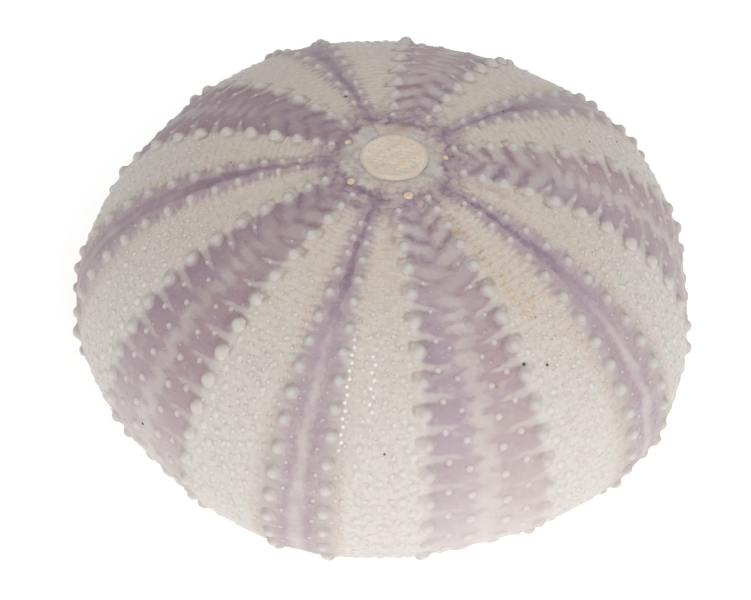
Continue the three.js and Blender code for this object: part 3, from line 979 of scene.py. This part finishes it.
def paintRowMarks(b, f, tint):
    # a pale seat under each big knob, and a corner mark above and outside it: partly the shell's
    # own brown, partly painted shade on the knob's upper side; above each narrow-band knob a
    # painted shadow
    arc, jagged = f["arc"], f["jagged"]
    across = b.mul(b.sub(f["fromWide"], f["rowWide"]), f["degree"])
    along = b.mul(f["plateWide"], b.ramp(arc, 6, 30, 2.0, 4.1))
    reach = b.length(across, along)
    square = b.most(b.size(across), b.size(along))
    boxed = b.add(b.mul(square, 0.65), b.mul(reach, 0.3))
    seat = b.ramp(b.add(reach, b.mul(jagged, 0.5)), 1.35, 0.5)
    tint = b.colour(tint, calcite["paleSeam"], b.mul(seat, 0.7))
    # corner mark above each big knob: partly the shell's own brown, partly painted shade
    markAndShadeAboveKnob = b.bell(b.add(b.sub(boxed, pattern["frameHalf"]), b.mul(jagged, 0.5)), 0.46)
    upper = b.mul(b.ramp(along, 0.3, -0.6), b.ramp(across, -1.7, -0.5))
    strength = b.mul(b.ramp(f["aged"], 56, 26, 0.12, 0.62), b.ramp(f["patch"], -0.2, 0.2, 0.4, 1.0))
    markAndShadeAboveKnob = b.mul(markAndShadeAboveKnob, upper, strength, b.ramp(arc, 9, 15))
    tint = b.colour(tint, calcite["brownMarkAndShade"], markAndShadeAboveKnob)
    beside = b.mul(b.sub(f["fromNarrow"], f["rowNarrow"]), f["degree"])
    below = b.mul(f["plateNarrow"], 3.4)
    alongRow = b.mul(b.bell(b.sub(beside, 0.6), 2.9), b.ramp(arc, 28, 46, 0.0, 0.6))
    tint = b.colour(tint, calcite["groundShade"], alongRow)
    seat = b.ramp(b.add(b.length(beside, below), b.mul(jagged, 0.7)), 1.35, 0.4)
    tint = b.colour(tint, calcite["paleSeam"], b.mul(seat, 0.5))
    # painted shadow: a dark smudge just above each narrow-band knob
    shadowAboveNarrowKnob = b.length(b.sub(beside, 0.55), b.add(below, 0.7))
    shadowAboveNarrowKnob = b.ramp(b.add(shadowAboveNarrowKnob, b.mul(jagged, 0.6)), 0.8, 0.1, 0.0, 0.22)
    return b.colour(tint, calcite["brownMarkAndShade"], shadowAboveNarrowKnob)


def paintPores(b, f, tint):
    # three columns of pore pairs on each side of a narrow band
    step = b.add(b.mul(f["platesNarrow"], 3.0), b.mul(f["narrowSide"], 0.5))
    along = b.mul(b.wholeDistance(step), 1.12)
    nearest = 9.0
    for column, swingOut in pattern["poreColumns"]:
        zig = b.mul(b.sub(b.size(b.wholeDistance(b.mul(step, 0.5))), 0.25), 4 * swingOut)
        for part in (-0.22, 0.22):
            across = b.add(b.mul(b.sub(b.sub(f["fromNarrow"], column), zig), f["degree"]), part)
            nearest = b.least(b.length(across, b.add(along, part * 0.4)), nearest)
    f["pores"] = b.ramp(nearest, pattern["poreRadius"], 0.03)
    shown = b.mul(f["pores"], b.ramp(f["arc"], 18, 30, 0.15, 0.5),
                  b.ramp(f["patch"], -0.2, 0.15, 0.2, 1.0))
    tint = b.colour(tint, calcite["poreBrown"], shown)

    # old yellow and brown staining, mostly caught in the pores
    turn, arc = f["turn"], f["arc"]
    drift = b.sub(turn, b.ramp(arc, 12, 29, 16.8, 20.8))
    zone = b.mul(b.bell(drift, 5.0), b.ramp(b.size(b.sub(arc, 20.5)), 10.5, 6.0))
    dots = b.most(b.ramp(nearest, 0.36, 0.1), b.ramp(f["pebble"], 0.34, 0.16))
    dots = b.mul(dots, b.ramp(b.add(f["patch"], f["jagged"]), -0.12, 0.14, 0.15, 1.0))
    stain = b.colour(calcite["stainBrown"], calcite["stainYellow"], b.ramp(arc, 17, 25))
    tint = b.colour(tint, calcite["peach"], b.mul(zone, 0.45))
    tint = b.colour(tint, stain, b.mul(zone, dots, 0.7))
    for turnAt, arcAt, reach in pattern["brownStains"]:
        zone = b.mul(b.bell(b.sub(turn, turnAt), 5.0), b.bell(b.sub(arc, arcAt), reach))
        zone = b.mul(zone, b.ramp(b.add(f["streak"], f["jagged"]), -0.1, 0.2, 0.1, 0.5))
        tint = b.colour(tint, calcite["stainBrown"], zone)

    # painted light: a few open pores painted as bright white dots, for the light that shines
    # through them
    paintedPinholeLight = 0.0
    for turnAt, zigzag, middle, half in pattern["pinholeRows"]:
        zig = b.mul(b.sub(b.size(b.wholeDistance(b.mul(arc, 0.5))), 0.25), 4 * zigzag)
        across = b.sub(b.mul(b.sub(turn, turnAt), f["degree"]), zig)
        gap = b.length(across, b.wholeDistance(arc))
        strong = b.ramp(b.size(b.sub(arc, middle)), half, half - 2.5)
        paintedPinholeLight = b.most(b.mul(b.ramp(gap, 0.29, 0.15), strong), paintedPinholeLight)
    return b.colour(tint, calcite["pinholeLight"], paintedPinholeLight)


def paintCrown(b, f, tint):
    # mauve veined ground around the crown, and the pale ring plates
    arc, jagged, patch = f["arc"], f["jagged"], f["patch"]
    edge = b.add(arc, b.mul(patch, 2.0))
    tint = b.colour(tint, calcite["mauve"], b.ramp(edge, 12.0, 7.4, 0.0, 0.42))
    veins = b.size(b.sub(b.noise(f["place"], *unevenness["wander"]), 0.5))
    veins = b.mul(b.ramp(veins, 0.09, 0.0), b.ramp(edge, 14.0, 8.0, 0.0, 0.6),
                  b.ramp(arc, 5.8, 6.8), b.ramp(b.add(jagged, f["cloud"]), -0.2, 0.15, 0.1, 1.0))
    tint = b.colour(tint, calcite["deepPurple"], veins)
    fringe = b.bell(b.sub(b.add(arc, b.mul(b.add(jagged, patch), 1.8)), 7.2), 1.0)
    fringe = b.mul(fringe, b.ramp(b.add(f["cloud"], patch), -0.15, 0.12, 0.08, 0.85),
                   b.ramp(f["fromWide"], 4, 18, 0.45, 1.0))
    outer = b.mul(b.bell(b.sub(edge, 8.6), 2.6), b.ramp(f["fromWide"], 10, 22, 0.0, 0.42))
    outer = b.mul(outer, b.ramp(f["cloud"], -0.2, 0.1, 0.4, 1.0))
    tint = b.colour(tint, calcite["deepPurple"], outer)
    tint = b.colour(tint, calcite["deepPurple"], fringe)

    # ring plates: cloudy, speckled, parted at each narrow band
    ringZone = b.ramp(b.add(edge, b.mul(b.add(jagged, f["cloud"]), 1.6)), 6.8, 5.8)
    ring = b.colour(calcite["ringGrey"], calcite["ringWarm"], b.ramp(patch, -0.1, 0.15))
    purpler = b.ramp(b.add(f["cloud"], b.mul(jagged, 0.8)), -0.03, 0.18, 0.0, 0.6)
    ring = b.colour(ring, calcite["mauve"], purpler)
    paler = b.ramp(b.add(f["cloud"], jagged), -0.04, -0.25, 0.0, 0.5)
    ring = b.colour(ring, calcite["knobPale"], paler)
    speckled = b.ramp(b.add(f["grain"], jagged), 0.05, 0.28, 0.0, 0.3)
    ring = b.colour(ring, calcite["sievePlate"], speckled)
    parting = b.ramp(b.add(b.mul(f["fromNarrow"], 0.1), b.mul(jagged, 0.5)), 0.35, 0.0, 0.0, 0.5)
    ring = b.colour(ring, calcite["sievePlate"], parting)
    tint = b.colour(tint, ring, ringZone)
    spots = [(pattern["madreporite"], "sievePlate", 1.5, 0.3, 0.6),
             (pattern["crownStain"], "stainBrown", 1.8, 0.3, 0.6)]
    spots += [(pore[:2], "brownMarkAndShade", 1.0, 0.6, 0.42) for pore in eggPores]
    for (turnAt, arcAt), shade, wideness, core, strength in spots:
        swung = b.sub(b.math("COSINE", b.math("RADIANS", b.sub(f["turn"], turnAt))), 1.0)
        around = b.math("SQRT", b.size(b.mul(swung, -2 * arcAt * arcAt)))
        gap = b.length(around, b.sub(arc, arcAt))
        spot = b.ramp(b.add(gap, b.mul(jagged, 0.9)), wideness, core, 0.0, strength)
        if shade == "stainBrown":
            spot = b.mul(spot, ringZone)
        tint = b.colour(tint, calcite[shade], spot)
    return tint


def calciteMaterial(name, glow):
    material = bpy.data.materials.new(name)
    b = NodeBench(material)
    f = shellFields(b)
    tint = paintGround(b, f)
    tint = paintWide(b, f, tint)
    tint = paintNarrow(b, f, tint)
    tint = paintRowMarks(b, f, tint)
    tint = paintPores(b, f, tint)
    tint = paintCrown(b, f, tint)
    dotTint = b.colour(tint, calcite["dotPale"], pattern["dotWhitening"])
    whiter = b.ramp(f["arc"], 8, 17, 0.1, 1.0)
    pearlTint = b.colour(calcite["dotPink"], calcite["knobWhite"], whiter)
    pearlTint = b.colour(pearlTint, calcite["knobPale"], b.ramp(f["arc"], 32, 60))
    knobTint = b.colour(dotTint, pearlTint, f["pearl"])
    towardsTip = b.ramp(f["tip"], 0.2, 1.0, 0.0, pattern["knobWhitening"])
    tint = b.colour(tint, knobTint, towardsTip)
    inside = b.ramp(f["tip"], -0.1, -0.7, 0.0, pattern["innerWhitening"])
    tint = b.colour(tint, calcite["innerWhite"], inside)
    b.links.new(tint, b.shader.inputs["Base Color"])
    b.shader.inputs["Roughness"].default_value = calcite["roughness"]
    b.shader.inputs["Specular IOR Level"].default_value = calcite["gloss"]
    b.shader.inputs["Subsurface Weight"].default_value = glow
    b.shader.inputs["Subsurface Radius"].default_value = calcite["glowColours"]
    b.shader.inputs["Subsurface Scale"].default_value = calcite["glowReach"] * mm

    # fine relief: grain, pebbles, cross lines and pores
    relief = b.add(b.mul(f["grain"], 0.35), b.ramp(f["pebble"], 0.6, 0.1, 0.0, 0.5))
    relief = b.add(relief, b.mul(b.ramp(f["lines"], 0.2, 0.5, 0.0, -0.35), f["poreBand"]))
    relief = b.sub(relief, b.mul(f["pores"], 0.6))
    b.bump(relief, 0.5, 0.12)
    return material


def membraneMaterial():
    material = bpy.data.materials.new("driedMembrane")
    b = NodeBench(material)
    place = b.objectPlace()
    grain = b.noise(place, 2300.0, 3.0, 0.6)
    cloud = b.noise(place, 420.0, 2.0)
    split = b.nodes.new("ShaderNodeSeparateXYZ")
    b.links.new(place, split.inputs[0])
    x = b.sub(b.mul(split.outputs[0], 1 / mm), axisX + skin["crownShift"][0])
    y = b.sub(b.mul(split.outputs[1], 1 / mm), axisY + skin["crownShift"][1])
    reach = b.length(x, y)
    inside = b.ramp(reach, 3.9, 3.4)
    tint = b.colour(membrane["cream"], membrane["creamShade"], b.ramp(cloud, 0.35, 0.65))
    shade = b.mul(b.ramp(grain, 0.52, 0.3, 0.0, 0.5), inside)
    tint = b.colour(tint, membrane["grainShade"], shade)
    spot = b.length(b.sub(x, membrane["ventX"]), b.sub(y, membrane["ventY"]))
    spot = b.ramp(b.add(spot, b.mul(b.sub(grain, 0.5), 2.4)), 1.15, 0.15, 0.0, 0.62)
    tint = b.colour(tint, membrane["ventStain"], spot)
    # darker towards the disc's edge: partly a blend into the ring's grey, partly painted shade of
    # the groove round the disc
    tint = b.colour(tint, membrane["rim"], b.ramp(reach, 3.75, 4.3, 0.0, 0.8))
    b.links.new(tint, b.shader.inputs["Base Color"])
    b.shader.inputs["Roughness"].default_value = 0.7
    b.shader.inputs["Subsurface Weight"].default_value = membrane["glow"]
    b.shader.inputs["Subsurface Radius"].default_value = (1.0, 0.8, 0.6)
    b.shader.inputs["Subsurface Scale"].default_value = 0.6 * mm
    b.bump(b.mul(grain, inside), 0.6, 0.15)
    return material


# Floor, light and camera. Angles in degrees, the lamp's sizes in metres, the camera's in mm.
studio = {
    "floorColour": (0.85, 0.85, 0.85),
    "floorGlow": 0.5,
    "worldStrength": 0.51,
    "lampAzimuth": -97.0,
    "lampElevation": 45.0,
    "lampDistance": 0.8,
    "lampSize": 0.4,
    "lampPower": 2.05,
    "cameraAzimuth": -111.1,
    "cameraElevation": 45.37,
    "cameraRoll": -1.8,
    "distance": 804.0,
    "lens": 293.6,
    "sensor": 36.0,
    "aimAcross": 1.593,
    "aimUp": -0.04,
}


def direction(azimuth, rise):
    return Vector((math.cos(azimuth) * math.cos(rise), math.sin(azimuth) * math.cos(rise),
                   math.sin(rise)))


def makeStudio():
    bpy.ops.mesh.primitive_plane_add(size=4.0, location=(0, 0, shellLow.z))
    floor = bpy.context.object
    floor.name = "floor"
    paper = bpy.data.materials.new("palePaper")
    bench = NodeBench(paper)
    bench.shader.inputs["Base Color"].default_value = (*studio["floorColour"], 1.0)
    bench.shader.inputs["Roughness"].default_value = 0.9
    bench.shader.inputs["Emission Color"].default_value = (1.0, 1.0, 1.0, 1.0)
    bench.shader.inputs["Emission Strength"].default_value = studio["floorGlow"]
    floor.data.materials.append(paper)
    floor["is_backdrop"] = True
    world = bpy.data.worlds.new("studio")
    bpy.context.scene.world = world
    world.use_nodes = True
    background = world.node_tree.nodes["Background"]
    background.inputs[0].default_value = (1.0, 1.0, 1.0, 1.0)
    background.inputs[1].default_value = studio["worldStrength"]
    toLamp = direction(math.radians(studio["lampAzimuth"]), math.radians(studio["lampElevation"]))
    light = bpy.data.lights.new("frontLight", "AREA")
    light.shape = "DISK"
    light.size = studio["lampSize"]
    light.energy = studio["lampPower"]
    lamp = bpy.data.objects.new("frontLight", light)
    bpy.context.scene.collection.objects.link(lamp)
    lamp.location = Vector((axisX * mm, axisY * mm, girthZ * mm)) + toLamp * studio["lampDistance"]
    lamp.rotation_euler = toLamp.to_track_quat("Z", "Y").to_euler()


def makeCamera():
    azimuth = math.radians(studio["cameraAzimuth"])
    rise = math.radians(studio["cameraElevation"])
    roll = math.radians(studio["cameraRoll"])
    side = Vector((-math.sin(azimuth), math.cos(azimuth), 0))
    back = direction(azimuth, rise)
    up = back.cross(side)
    centre = Vector((axisX, axisY, girthZ))
    place = centre + back * studio["distance"]
    place = place - side * studio["aimAcross"] - up * studio["aimUp"]
    right = side * math.cos(roll) - up * math.sin(roll)
    rolledUp = side * math.sin(roll) + up * math.cos(roll)
    camera = bpy.data.objects.new("camera", bpy.data.cameras.new("camera"))
    bpy.context.scene.collection.objects.link(camera)
    matrix = Matrix((right, rolledUp, back)).transposed().to_4x4()
    matrix.translation = place * mm
    camera.matrix_world = matrix
    camera.data.lens = studio["lens"]
    camera.data.sensor_width = studio["sensor"]
    camera.data.clip_end = 20.0
    bpy.context.scene.camera = camera


makeStudio()
makeCamera()
clearSelection()
makeSkin(calciteMaterial("urchinCalcite", calcite["glow"]))
makeKnobs(calciteMaterial("knobCalcite", 0.0))
makeSmallFinds()
makeMembrane(membraneMaterial())
bpy.context.scene.view_settings.view_transform = "Standard"

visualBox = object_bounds()
for label, box in (("CAD box", cadBox), ("visual box", visualBox)):
    print(label, [[round(value, 5) for value in corner] for corner in box])
